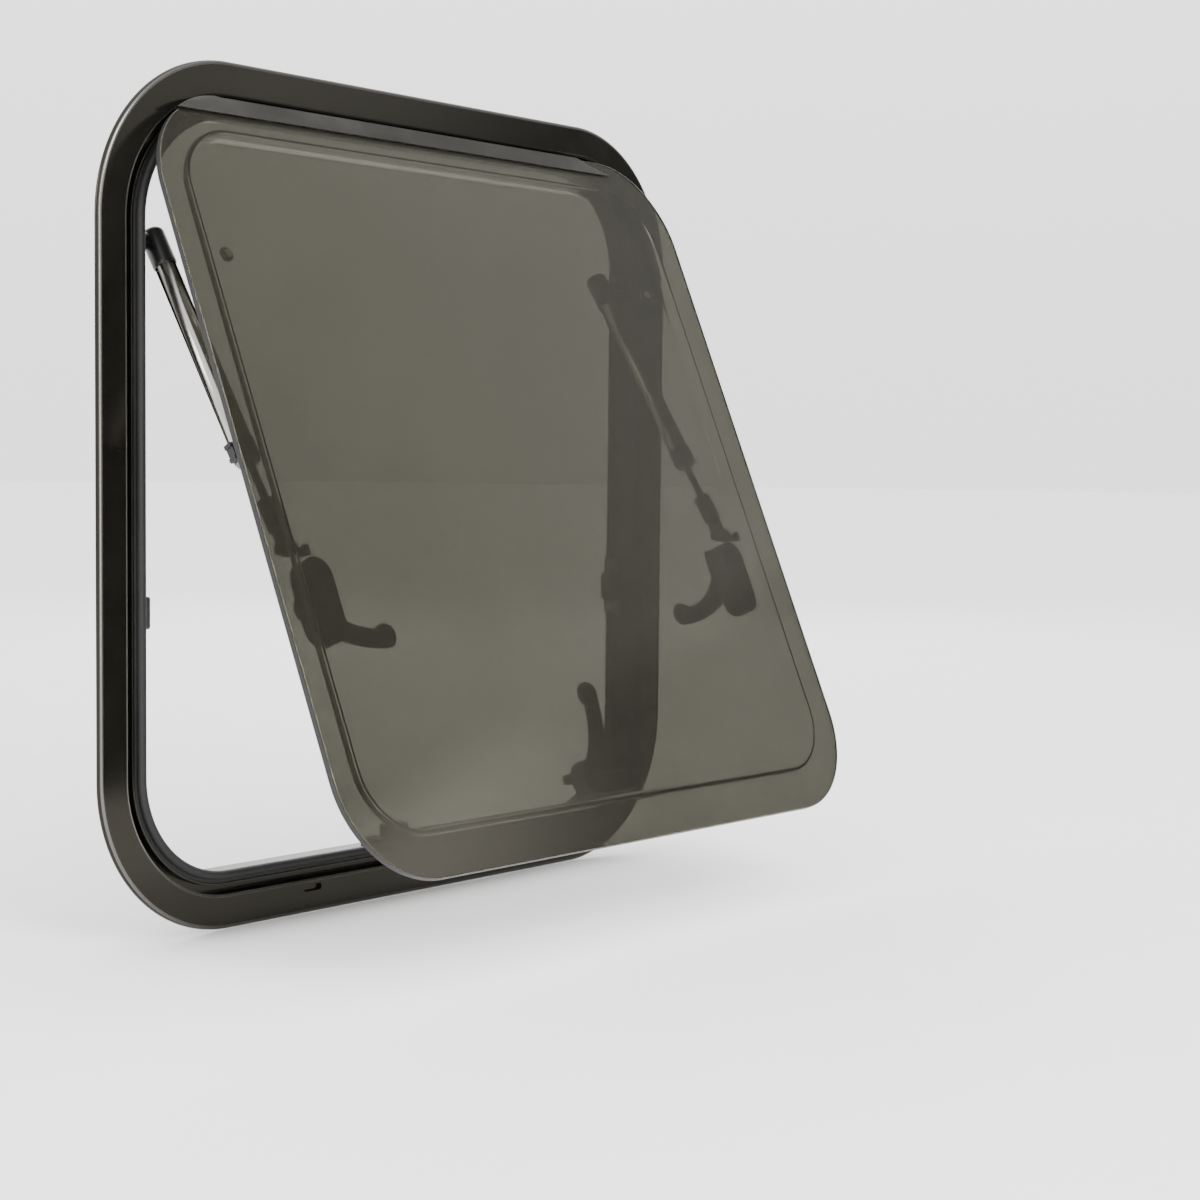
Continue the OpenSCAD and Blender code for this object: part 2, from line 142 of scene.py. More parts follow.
def held(points, near, closed=False):
    """The same outline with a further point close to both ends of each long stretch, so that a flat face
    keeps its own normal up to the rounding at its edge."""
    p = np.asarray(points, float)
    end = np.roll(p, -1, 0) if closed else p[1:]
    start = p if closed else p[:-1]
    length = np.linalg.norm(end - start, axis=1)
    long = length > 4 * near
    unit = (end - start) / np.maximum(length, 1e-9)[:, None]
    after, before = start + unit * near, end - unit * near
    rows = np.stack([start, after, before], 1)
    keep = np.stack([np.ones(len(start), bool), long, long], 1)
    out = rows[keep]
    return out if closed else np.concatenate([out, p[-1:]])


def outline(width, height, radius, inset, steps):
    """Points of a rounded rectangle at each inset: a corner's points lie on a circle about the corner's
    own centre, whose radius is the corner radius less the inset."""
    a = np.linspace(0, math.pi / 2, steps)
    angle = np.concatenate([a + k * math.pi / 2 for k in range(4)])
    sx = np.repeat([1, -1, -1, 1], steps)
    sz = np.repeat([1, 1, -1, -1], steps)
    r = radius - np.asarray(inset, float)[None, :]
    x = (sx * (width / 2 - radius))[:, None] + r * np.cos(angle)[:, None]
    z = (sz * (height / 2 - radius))[:, None] + r * np.sin(angle)[:, None]
    return x, z


def grid_faces(rows, cols, wrap_rows, wrap_cols):
    """The four corners of each cell of a grid of points, closed round in either direction where asked."""
    i = np.arange(rows if wrap_rows else rows - 1)[:, None]
    j = np.arange(cols if wrap_cols else cols - 1)[None, :]
    i2, j2 = (i + 1) % rows, (j + 1) % cols
    f = np.stack([i * cols + j, i2 * cols + j, i2 * cols + j2, i * cols + j2], -1)
    return f.reshape(-1, 4)


def lengths(p, axis):
    """Distance along a grid of points from its first row or column."""
    step = np.linalg.norm(np.diff(p, axis=axis), axis=-1)
    pad = [(0, 0), (0, 0)]
    pad[axis] = (1, 0)
    return np.pad(np.cumsum(step, axis=axis), pad)


class Shape:
    """Points, faces and map coordinates that are gathered before they become one mesh."""

    def __init__(self):
        self.points, self.faces, self.maps = [], [], []
        self.count = 0

    def grid(self, p, wrap_rows=False, wrap_cols=False, cap_first=False, cap_last=False):
        """A grid of points as a surface. A cap closes the ring of points in its first or last column."""
        rows, cols = p.shape[:2]
        f = grid_faces(rows, cols, wrap_rows, wrap_cols)
        u, v = lengths(p, 0), lengths(p, 1)
        faces = [tuple(q) for q in (f + self.count).tolist()]
        if cap_first:
            faces.append(tuple((np.arange(rows) * cols + self.count).tolist())[::-1])
        if cap_last:
            faces.append(tuple((np.arange(rows) * cols + cols - 1 + self.count).tolist()))
        self.points.append(p.reshape(-1, 3))
        self.maps.append(np.stack([u, v], -1).reshape(-1, 2))
        self.faces += faces
        self.count += rows * cols
        return self

    def mesh(self, name, angle=35):
        """The finished mesh: doubles merged, faces turned outwards, smooth but for edges sharper than the
        angle."""
        p = np.concatenate(self.points)
        m = bpy.data.meshes.new(name)
        m.from_pydata(p.tolist(), [], self.faces)
        uv = np.concatenate(self.maps)
        loops = np.zeros(len(m.loops), np.int32)
        m.loops.foreach_get("vertex_index", loops)
        m.uv_layers.new(name="Surface").data.foreach_set("uv", uv[loops].ravel())
        tidy(m, angle)
        return m


def tidy(m, angle):
    """Merges doubles, turns faces outwards and marks the edges that stay sharp."""
    b = bmesh.new()
    b.from_mesh(m)
    bmesh.ops.remove_doubles(b, verts=b.verts, dist=1e-6)
    bmesh.ops.dissolve_degenerate(b, edges=b.edges, dist=1e-7)
    bmesh.ops.recalc_face_normals(b, faces=b.faces)
    b.to_mesh(m)
    b.free()
    m.polygons.foreach_set("use_smooth", [True] * len(m.polygons))
    m.set_sharp_from_angle(angle=math.radians(angle))
    m.update()


def piece(name, mesh, body, material, *nodes):
    """A new object at the origin that rides on a body and stands for the named nodes."""
    o = bpy.data.objects.new(name, mesh)
    bpy.context.scene.collection.objects.link(o)
    o.data.materials.clear()
    o.data.materials.append(material)
    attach(o, body)
    if nodes:
        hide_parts(*nodes)
    return o


def band(width, height, radius, section, steps):
    """A closed section carried round a rounded rectangle: a section's point is its distance in from the
    outline and its depth."""
    s = np.asarray(section, float)
    x, z = outline(width, height, radius, s[:, 0], steps)
    y = np.broadcast_to(s[:, 1], x.shape)
    return np.stack([x, y, z], -1)


def turned(profile, steps=48, axis=2):
    """A profile of (distance along the axis, radius) turned round the axis."""
    q = np.asarray(profile, float)
    a = np.linspace(0, 2 * math.pi, steps, endpoint=False)[:, None]
    along = np.broadcast_to(q[:, 0], (steps, len(q)))
    p = np.stack([q[:, 1] * np.cos(a), q[:, 1] * np.sin(a), along], -1)
    return p if axis == 2 else np.roll(p, 1 if axis == 0 else 2, -1)


def dome(z0, z1, r, edge):
    """A turned barrel from z0 to z1 with both edges rounded, closed at its axis."""
    a = np.linspace(0, math.pi / 2, 6)
    low = np.stack([z0 + edge * (1 - np.cos(a)), r - edge + edge * np.sin(a)], -1)
    high = np.stack([z1 - edge * (1 - np.sin(a)), r - edge + edge * np.cos(a)], -1)
    return held(np.concatenate([[(z0, 0)], low, high, [(z1, 0)]]), 0.2)


def squarish(steps, power):
    """Cosine and sine round a squarish oval: each keeps its sign and is taken to a power below one."""
    a = np.linspace(0, 2 * math.pi, steps, endpoint=False)[None, :]
    c, s = np.cos(a), np.sin(a)
    return np.sign(c) * np.abs(c) ** (2 / power), np.sign(s) * np.abs(s) ** (2 / power)


def bar(path, half_width, half_depth, depth, steps, power):
    """A flat bar along a path in the sash's plane. Round the path runs a squarish oval, whose half axes
    lie across the path and along the depth. They may shrink towards an end."""
    p = np.asarray(path, float)
    along = np.gradient(p, axis=0)
    along /= np.linalg.norm(along, axis=1)[:, None]
    across = np.stack([-along[:, 1], along[:, 0]], -1)
    c, s = squarish(steps, power)
    hw = np.broadcast_to(half_width, len(p))[:, None]
    hd = np.broadcast_to(half_depth, len(p))[:, None]
    x = p[:, :1] + across[:, :1] * hw * c
    z = p[:, 1:] + across[:, 1:] * hw * c
    return np.stack([x, depth + hd * s, z], -1)


def slab(points, x0, x1, edge):
    """A plate between two places on x, whose outline holds (depth, height) pairs. Its edges are rounded:
    near each face the outline shrinks towards its own middle by a quarter circle's run."""
    q = np.asarray(points, float)
    middle = (q.max(0) + q.min(0)) / 2
    reach = np.abs(q - middle).max(0)
    a = np.linspace(0, math.pi / 2, 4)
    run = edge * (1 - np.sin(a))
    rise = edge * (1 - np.cos(a))
    shrink = np.concatenate([run, run[::-1]])
    x = np.concatenate([min(x0, x1) + rise, max(x0, x1) - rise[::-1]])
    f = 1 - shrink[None, :, None] / reach[None, None, :]
    yz = middle + (q - middle)[:, None, :] * f
    return np.concatenate([np.broadcast_to(x[None, :, None], (*yz.shape[:2], 1)), yz], -1)


def box_outline(y0, y1, z0, z1, radius):
    """The outline of a slab as a rectangle with rounded corners."""
    return held(rounded([(y0, z0), (y1, z0), (y1, z1), (y0, z1)], radius, 4), 0.3, True)


def softened(node, body, material, width):
    """A copy of a plain fitting with its edges rounded off by a small bevel, its width in millimetres."""
    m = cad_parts[node].data.copy()
    m.name = node + "_soft"
    b = bmesh.new()
    b.from_mesh(m)
    bmesh.ops.remove_doubles(b, verts=b.verts, dist=2e-6)
    bmesh.ops.dissolve_limit(b, angle_limit=math.radians(1.0), verts=b.verts, edges=b.edges)
    b.to_mesh(m)
    b.free()
    o = piece(node + "_soft", m, body, material, node)
    mod = o.modifiers.new("Rounded edges", "BEVEL")
    mod.width = width * MM
    mod.segments = 2
    mod.limit_method = "ANGLE"
    mod.angle_limit = math.radians(30)
    mod.use_clamp_overlap = True
    mod.harden_normals = True
    m.polygons.foreach_set("use_smooth", [True] * len(m.polygons))
    m.set_sharp_from_angle(angle=math.radians(40))
    return o


# Finishes


def new_group(name, inputs, outputs):
    """An empty shader node group with the named sockets."""
    g = bpy.data.node_groups.new(name, "ShaderNodeTree")
    for label, kind, value in inputs:
        s = g.interface.new_socket(name=label, in_out="INPUT", socket_type=kind)
        if value is not None:
            s.default_value = value
    for label, kind in outputs:
        g.interface.new_socket(name=label, in_out="OUTPUT", socket_type=kind)
    return g, g.nodes.new("NodeGroupInput"), g.nodes.new("NodeGroupOutput")


def maths(g, kind, a, b, clamp=False):
    """One Math node of that kind, whose inputs are sockets or numbers."""
    n = g.nodes.new("ShaderNodeMath")
    n.operation = kind
    n.use_clamp = clamp
    for i, v in enumerate((a, b)):
        if isinstance(v, (int, float)):
            n.inputs[i].default_value = v
        else:
            g.links.new(v, n.inputs[i])
    return n.outputs[0]


def times(g, a, b):
    """The product of two sockets or numbers."""
    return maths(g, "MULTIPLY", a, b)


def blend(g, factor, first, second):
    """Mixes two colours, each of them a socket or a fixed colour, by a socket's value."""
    n = g.nodes.new("ShaderNodeMix")
    n.data_type = "RGBA"
    g.links.new(factor, n.inputs["Factor"])
    for i, v in ((6, first), (7, second)):
        if isinstance(v, (tuple, list)):
            n.inputs[i].default_value = (*v, 1)
        else:
            g.links.new(v, n.inputs[i])
    return n.outputs[2]


def split(g, vector):
    """The three parts of a vector socket."""
    n = g.nodes.new("ShaderNodeSeparateXYZ")
    g.links.new(vector, n.inputs[0])
    return n.outputs


def spread(g, value, low, high, to_low, to_high):
    """Maps a value from one range to another, smoothly and clamped."""
    n = g.nodes.new("ShaderNodeMapRange")
    n.interpolation_type = "SMOOTHSTEP"
    g.links.new(value, n.inputs["Value"])
    for key, v in (("From Min", low), ("From Max", high), ("To Min", to_low), ("To Max", to_high)):
        n.inputs[key].default_value = v
    return n.outputs[0]


def noise(g, vector, scale, detail, rough=0.5):
    """A noise pattern read at a vector socket; its scale is a number or a socket."""
    n = g.nodes.new("ShaderNodeTexNoise")
    n.inputs["Detail"].default_value = detail
    n.inputs["Roughness"].default_value = rough
    g.links.new(vector, n.inputs["Vector"])
    if isinstance(scale, (int, float)):
        n.inputs["Scale"].default_value = scale
    else:
        g.links.new(scale, n.inputs["Scale"])
    return n.outputs["Fac"]


def grain_group():
    """Fine moulded or powder grain: two noises of different scale added as a height."""
    g, i, o = new_group(
        "Fine grain",
        [("Vector", "NodeSocketVector", None), ("Scale", "NodeSocketFloat", 900.0)],
        [("Height", "NodeSocketFloat")],
    )
    fine = noise(g, i.outputs["Vector"], i.outputs["Scale"], 3.0, 0.6)
    slow = noise(g, i.outputs["Vector"], times(g, i.outputs["Scale"], 0.12), 1.0)
    g.links.new(maths(g, "ADD", fine, times(g, slow, 0.5)), o.inputs["Height"])
    return g


def lines_group():
    """Lines left by drawing or brushing: noise stretched along the first axis of its vector."""
    g, i, o = new_group(
        "Drawn lines",
        [
            ("Vector", "NodeSocketVector", None),
            ("Along", "NodeSocketFloat", 8.0),
            ("Across", "NodeSocketFloat", 2500.0),
        ],
        [("Height", "NodeSocketFloat"), ("Mask", "NodeSocketFloat")],
    )
    parts = split(g, i.outputs["Vector"])
    join = g.nodes.new("ShaderNodeCombineXYZ")
    for axis, scale in enumerate(("Along", "Across", "Across")):
        g.links.new(times(g, parts[axis], i.outputs[scale]), join.inputs[axis])
    fine = noise(g, join.outputs[0], 1.0, 2.0, 0.6)
    g.links.new(fine, o.inputs["Height"])
    g.links.new(spread(g, fine, 0.35, 0.65, 0.0, 1.0), o.inputs["Mask"])
    return g


def marks_group():
    """Handling marks and settled dust: a slow patchy noise, and a finer one that speckles it."""
    g, i, o = new_group(
        "Handling marks",
        [("Vector", "NodeSocketVector", None), ("Scale", "NodeSocketFloat", 14.0)],
        [("Patches", "NodeSocketFloat"), ("Specks", "NodeSocketFloat")],
    )
    slow = noise(g, i.outputs["Vector"], i.outputs["Scale"], 4.0, 0.6)
    speck = noise(g, i.outputs["Vector"], times(g, i.outputs["Scale"], 45.0), 2.0, 0.5)
    g.links.new(spread(g, slow, 0.38, 0.68, 0.0, 1.0), o.inputs["Patches"])
    g.links.new(spread(g, speck, 0.62, 0.74, 0.0, 1.0), o.inputs["Specks"])
    return g


GROUPS = {}
# Colours of the metal that the painted edge sheen turns to, and of settled dust
SHEEN_METAL, DUST = (0.15, 0.145, 0.135), (0.42, 0.4, 0.36)


def use_group(tree, key, vector, **values):
    """Places a shared effect in a material, with its own values."""
    makers = {"grain": grain_group, "lines": lines_group, "marks": marks_group}
    if key not in GROUPS:
        GROUPS[key] = makers[key]()
    n = tree.nodes.new("ShaderNodeGroup")
    n.node_tree = GROUPS[key]
    tree.links.new(vector, n.inputs["Vector"])
    for label, v in values.items():
        n.inputs[label].default_value = v
    return n


def painted_edge_sheen(t, where, colour, b):
    """A painted highlight: along the profile's outer rounding and inner lip, the anodised layer is made to
    shine like bare metal where these edges catch the light. The map's second coordinate, the distance along
    the profile's section, says where they are. The rounding's painted sheen is strongest on the frame's left
    side, and the lip's fades out below its top."""
    v = split(t, where.outputs["UV"])[1]
    x, _, z = split(t, where.outputs["Object"])
    # Painted highlight bands, placed by distance along the section: one on the outer rounding, one on the
    # inner lip
    nose = times(t, spread(t, v, 0.0024, 0.0032, 0.0, 0.8), spread(t, v, 0.0044, 0.0052, 1.0, 0.0))
    lip = times(t, spread(t, v, 0.0226, 0.0231, 0.0, 1.0), spread(t, v, 0.0243, 0.0249, 1.0, 0.0))
    nose = times(t, nose, spread(t, x, -0.262, -0.17, 1.0, 0.3))
    lip = times(t, lip, spread(t, z, 0.44, 0.49, 0.8, 0.0))
    mask = maths(t, "ADD", nose, lip, clamp=True)
    t.links.new(mask, b.inputs["Metallic"])
    return blend(t, mask, colour, SHEEN_METAL)


def finish(
    name,
    colour,
    rough,
    metal=0.0,
    vary=0.06,
    grain=None,
    lines=None,
    depth=0.02,
    dust=0.0,
    specular=0.5,
    glass=None,
    tint=None,
    edge=None,
    shine=None,
    sheen=False,
):
    """A finish: its colour drifts in patches to a second tint, a quarter brighter unless one is given. Its
    roughness varies with handling marks, and grain or drawn lines raise its surface by a depth in
    millimetres. Edge is a darker colour painted where a polished bar turns away, a painted dark reflection;
    glass a refractive index; shine the colour of what it mirrors; and sheen adds a painted highlight along
    the frame's outer rounding and inner lip."""
    m = bpy.data.materials.new(name)
    m.use_nodes = True
    t = m.node_tree
    b = t.nodes["Principled BSDF"]
    where = t.nodes.new("ShaderNodeTexCoord")
    vector = where.outputs["Object"]
    marks = use_group(t, "marks", vector)
    second = tint or [min(1, c * 1.25 + 0.0006) for c in colour]
    last = blend(t, marks.outputs["Patches"], colour, second)
    if dust:
        last = blend(t, times(t, marks.outputs["Specks"], dust), last, DUST)
    # Painted dark reflection: the colour turns darker towards the rims, where a polished bar turns away
    if edge:
        rim = t.nodes.new("ShaderNodeLayerWeight")
        rim.inputs["Blend"].default_value = 0.5
        last = blend(t, spread(t, rim.outputs["Facing"], 0.30, 0.70, 0.0, 1.0), last, edge)
    # Painted highlight along the frame's edges, which turn to shiny bare metal
    if sheen:
        last = painted_edge_sheen(t, where, last, b)
    t.links.new(last, b.inputs["Base Color"])
    value = maths(t, "ADD", times(t, marks.outputs["Patches"], vary), rough, clamp=True)
    height = None
    if grain:
        height = use_group(t, "grain", vector, Scale=grain).outputs["Height"]
    if lines:
        streak = use_group(t, "lines", vector, Along=lines[0], Across=lines[1])
        height = streak.outputs["Height"]
        value = maths(t, "ADD", value, times(t, streak.outputs["Mask"], 0.08), clamp=True)
    t.links.new(value, b.inputs["Roughness"])
    if height is not None:
        bump = t.nodes.new("ShaderNodeBump")
        bump.inputs["Strength"].default_value = 1.0
        bump.inputs["Distance"].default_value = depth * MM
        t.links.new(height, bump.inputs["Height"])
        t.links.new(bump.outputs["Normal"], b.inputs["Normal"])
    b.inputs["Metallic"].default_value = metal
    b.inputs["Specular IOR Level"].default_value = specular
    if shine:
        b.inputs["Specular Tint"].default_value = (*shine, 1)
    if glass:
        b.inputs["IOR"].default_value = glass
        b.inputs["Transmission Weight"].default_value = 1.0
    return m


def make_finishes(look):
    """Every finish of the window, by the name that its pieces use."""
    dark = tuple(look.frame_colour)
    smoke = tuple(look.pane_colour)
    return {
        # The frame's sheen is a painted highlight along its outer rounding and inner lip
        "frame": finish(
            "Dark anodised aluminium", dark, 0.15, vary=0.05, grain=900, depth=0.0004, dust=0.004,
            specular=0.28, shine=(1.0, 0.92, 0.74), sheen=True,
        ),
        "seal": finish(
            "Seal rubber", (0.016, 0.016, 0.0155), 0.50, vary=0.12, grain=1600, depth=0.04, dust=0.01,
            specular=0.22,
        ),
        "pane": finish(
            "Smoked acrylic", smoke, 0.0, vary=0.0, glass=1.49, tint=[c * 0.97 for c in smoke],
            shine=(1.0, 0.93, 0.74),
        ),
        "strip": finish(
            "Brushed strip", (0.085, 0.082, 0.075), 0.30, metal=1.0, lines=(12, 3200), depth=0.006,
        ),
        # The rail's own dark colour, made darker as painted shade, so that the gap above the strip shows
        # black
        "rail": finish(
            "Near-black aluminium, painted shade", (0.010, 0.010, 0.009), 0.36, metal=1.0, lines=(10, 2600), depth=0.006,
        ),
        # The tube's dark rims, from edge and from its dark shine, are a painted dark reflection of dark
        # surroundings
        "chrome": finish(
            "Polished steel tube", (0.34, 0.33, 0.31), 0.20, metal=1.0, vary=0.05,
            edge=(0.015, 0.014, 0.012), shine=(0.22, 0.21, 0.19),
        ),
        "rod": finish("Blackened steel", (0.03, 0.03, 0.03), 0.25, metal=1.0, grain=2500, depth=0.004),
        "black": finish(
            "Black moulding", (0.008, 0.008, 0.008), 0.36, vary=0.12, grain=1300, depth=0.03, dust=0.008,
        ),
        "grey": finish(
            "Grey moulding", (0.016, 0.016, 0.015), 0.42, vary=0.10, grain=1200, depth=0.03, dust=0.01,
        ),
        "plug": finish("Vent plug moulding", (0.5, 0.49, 0.47), 0.28, vary=0.10, grain=1200),
        "cut": finish(
            "Cut acrylic edge", (0.012, 0.012, 0.0105), 0.42, grain=1400, depth=0.01, specular=0.3,
        ),
        "tip": finish("Pale nylon", (0.16, 0.16, 0.155), 0.35, grain=1500),
        "plate": finish(
            "Black plated steel", (0.015, 0.015, 0.0155), 0.34, metal=0.6, vary=0.14, grain=2200,
            depth=0.012, tint=(0.03, 0.029, 0.027),
        ),
        "screw": finish("Screw steel", (0.22, 0.215, 0.205), 0.26, metal=1.0, grain=2500, depth=0.005),
    }


FINISH = {}


def paint(node, key):
    """Gives a CAD node that keeps its shape a finish."""
    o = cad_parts[node]
    for s in o.material_slots:
        s.material = FINISH[key]


# Settings


def measure(name, default, least, about):
    """A length setting in metres."""
    return FloatProperty(name=name, description=about, default=default, min=least, unit="LENGTH")


def tone(name, default, about):
    """A colour setting."""
    return FloatVectorProperty(
        name=name, description=about, subtype="COLOR", size=3, min=0, max=1, default=default
    )


class WindowSizes(bpy.types.PropertyGroup):
    """Lengths that the pieces are built from"""

    flange: measure("Flange width", 21 * MM, 0.01, "Flat width of the frame's flange")
    edge: measure("Edge rounding", 0.35 * MM, 0.0001, "Rounding of the profile's small corners")
    pane_edge: measure("Pane edge", 0.8 * MM, 0.0001, "Rounding of the panes' edges")
    margin: measure("Margin", 22 * MM, 0.01, "Width of the bonded margin round the raised tray")
    low: measure("Lower margin", 6.3 * MM, 0, "Further width of the margin below the tray")
    corner_steps: IntProperty(
        name="Corner steps", description="Points round each rounded corner", default=40, min=8, max=96
    )


class WindowLook(bpy.types.PropertyGroup):
    """Colours and light"""

    frame_colour: tone("Frame colour", (0.0036, 0.0034, 0.0028), "Colour of the frame profile")
    pane_colour: tone("Pane colour", (0.220, 0.218, 0.192), "Smoke tint that each pane lets through")
    floor_colour: tone("Floor colour", (0.92, 0.92, 0.92), "Colour of the plain floor")
    light: FloatProperty(
        name="Light", description="Strength of the soft surrounding light", default=2.5, min=0, max=10
    )


# Pieces


class WINDOW_OT_finishes(bpy.types.Operator):
    """Make the window's finishes"""

    bl_idname = "window.finishes"
    bl_label = "Finishes"

    def execute(self, context):
        FINISH.update(make_finishes(context.scene.window_look))
        return {"FINISHED"}


class WINDOW_OT_frame(bpy.types.Operator):
    """Build the outer frame's profile loop with its drain slots"""

    bl_idname = "window.frame"
    bl_label = "Outer frame"

    def execute(self, context):
        size = context.scene.window_sizes
        w = size.flange / MM
        # Depths of the flange's face, the web's two sides, the clamp channel's lip and the inner leg's end
        face, front, web, clamp, back = -3.2, 6.5, 8.3, 16, 24
        wall, r = 1.8, 3.0
        nose = [(r - r * math.cos(a), -0.2 - r * math.sin(a)) for a in np.linspace(0, math.pi / 2, 12)]
        lip, rib = w + 1.6, w + 6.8
        leg = rib + 7.3
        section = np.array(
            [(0, 0)] + nose + [
                (w, face), (lip, face + 0.8), (lip, front), (rib, front), (rib, 0), (rib + wall, 0),
                (rib + wall, front), (leg, front), (leg, back), (leg - wall, back), (leg - wall, web),
                (lip, web), (lip, clamp), (lip - wall, clamp), (lip - wall, 0),
            ]
        ) * MM
        section = held(rounded(section, size.edge, 3), 0.25 * MM, True)
        low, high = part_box("outer_frame")
        wide, tall = high.x - low.x, high.z - low.z
        p = band(wide, tall, FRAME_R, section, size.corner_steps)
        p[..., 2] += (low.z + high.z) / 2
        shape = Shape().grid(p, wrap_rows=True, wrap_cols=True)
        o = piece("frame_profile", shape.mesh("frame_profile"), "frame", FINISH["frame"], "outer_frame")
        self.cut_slots(o, low.z)
        return {"FINISHED"}

    def cut_slots(self, o, low):
        """Cuts the drain slots, oblong outlines pushed through the flange, with one boolean. The tool has no
        map, so the cut faces take no painted edge sheen."""
        wide, tall, r = 16 * MM, 4.5 * MM, 2.0 * MM
        x0, z0 = 98 * MM, 16.75 * MM
        cutter = Shape()
        for side in (-1, 1):
            x, z = outline(wide, tall, r, [0.0, 0.0], 8)
            y = np.broadcast_to(np.array([-5.0, -0.4]) * MM, x.shape)
            p = np.stack([x + side * x0, y, z + low + z0], -1)
            cutter.grid(p, wrap_rows=True, cap_first=True, cap_last=True)
        tool = cutter.mesh("slot_cutter")
        tool.uv_layers.remove(tool.uv_layers[0])
        c = bpy.data.objects.new("slot_cutter", tool)
        bpy.context.scene.collection.objects.link(c)
        mod = o.modifiers.new("Drain slots", "BOOLEAN")
        mod.operation = "DIFFERENCE"
        mod.solver = "EXACT"
        mod.object = c
        bpy.context.view_layer.update()
        graph = bpy.context.evaluated_depsgraph_get()
        cut = bpy.data.meshes.new_from_object(o.evaluated_get(graph))
        o.modifiers.clear()
        o.data = cut
        bpy.data.objects.remove(c)
        cut.set_sharp_from_angle(angle=math.radians(35))


class WINDOW_OT_seal(bpy.types.Operator):
    """Build the weather seal: a foot with a round bulb, carried round the frame"""

    bl_idname = "window.seal"
    bl_label = "Weather seal"

    def execute(self, context):
        size = context.scene.window_sizes
        # The bulb's middle and radius, and the foot's two sides and back, in millimetres
        x, y, r = 34.7, -0.4, 3
        near, far, back = 29.65, 35.05, 6.45
        a = np.radians(np.linspace(152.2, 442.3, 30))
        bulb = np.stack([x + r * np.cos(a), y + r * np.sin(a)], -1)
        section = np.concatenate([[(near, back), (near, 1.0)], bulb, [(far, back)]]) * MM
        low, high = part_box("outer_frame")
        p = band(high.x - low.x, high.z - low.z, FRAME_R, section, size.corner_steps)
        p[..., 2] += (low.z + high.z) / 2
        shape = Shape().grid(p, wrap_rows=True, wrap_cols=True)
        piece("seal_bulb", shape.mesh("seal_bulb", 50), "frame", FINISH["seal"], "weather_seal")
        return {"FINISHED"}


class WINDOW_OT_panes(bpy.types.Operator):
    """Build the smoked sheets: the flat outer one and the formed inner one"""

    bl_idname = "window.panes"
    bl_label = "Panes"

    def execute(self, context):
        size = context.scene.window_sizes
        steps = size.corner_steps
        e, g = size.pane_edge, size.margin
        t = 2.5 * MM
        flat = [(40 * MM, 0), (0, 0), (0, t), (40 * MM, t)]
        self.sheet("outer_sheet", self.open_section(flat, [0, e, e, 0]), steps, "outer_pane", 0)
        a, b, top = 2.65 * MM, 4.5 * MM, 12 * MM
        formed = [
            (42 * MM, top), (g + 1.0 * MM, top), (g, b), (0, b), (0, a),
            (g + 2.0 * MM, a), (g + 3.0 * MM, top - 2 * MM), (42 * MM, top - 2 * MM),
        ]
        radii = np.array([0, 3.2, 1.8, 0.6, 0.6, 1.6, 1.8, 0]) * MM
        self.sheet("inner_sheet", self.open_section(formed, radii), steps, "inner_pane", size.low)
        # A black line at the tray's seam: painted dark reflection of the tray's step
        inner, outer, near, far = g - 0.3 * MM, g + 1.0 * MM, 2.52 * MM, 2.63 * MM
        line = [(inner, near), (outer, near), (outer, far), (inner, far)]
        self.loop("painted_seam_line", line, 0, steps, "black", size.low)
        skin, near, far = 0.06 * MM, 0.7 * MM, 4.0 * MM
        rim = [(0, near), (0, far), (skin, far), (skin, near)]
        self.loop("cut_edge", rim, skin / 2, steps, "cut", 0)
        return {"FINISHED"}

    def loop(self, name, section, proud, steps, key, low):
        """A narrow closed loop round the sash, which may stand a little proud of it: the black line at the
        tray's seam between the sheets, a painted dark reflection of the tray's step; and the sheets' matt cut
        edge."""
        tall = SASH_H + 2 * proud
        p = band(SASH_W + 2 * proud, tall, SASH_R + proud, section, steps)
        p[..., 2] += low * (tall / 2 - p[..., 2]) / tall + MIDDLE
        p[..., 1] += FACE
        shape = Shape().grid(on_sash(p), wrap_rows=True, wrap_cols=True)
        piece(name, shape.mesh(name, 30), "sash", FINISH[key])

    def open_section(self, points, radii):
        """Rounds an open section's inner corners and keeps one point at each of its two ends."""
        steps = 6
        return held(rounded(points, radii, steps)[steps:-steps], 0.2 * MM)

    def sheet(self, name, section, steps, node, low):
        """A sheet of acrylic: its section runs from the middle of one face, round the edge, to the
        other's. Its tray stands clear of the lower edge by a further distance, which fades out towards
        the upper edge."""
        p = band(SASH_W, SASH_H, SASH_R, section, steps)
        share = np.clip(section[:, 0] / (20 * MM), 0, 1)[None, :]
        p[..., 2] += low * share * (SASH_H / 2 - p[..., 2]) / SASH_H
        p[..., 1] += FACE
        p[..., 2] += MIDDLE
        shape = Shape().grid(on_sash(p), wrap_rows=True, cap_first=True, cap_last=True)
        piece(name, shape.mesh(name, 60), "sash", FINISH["pane"], node)


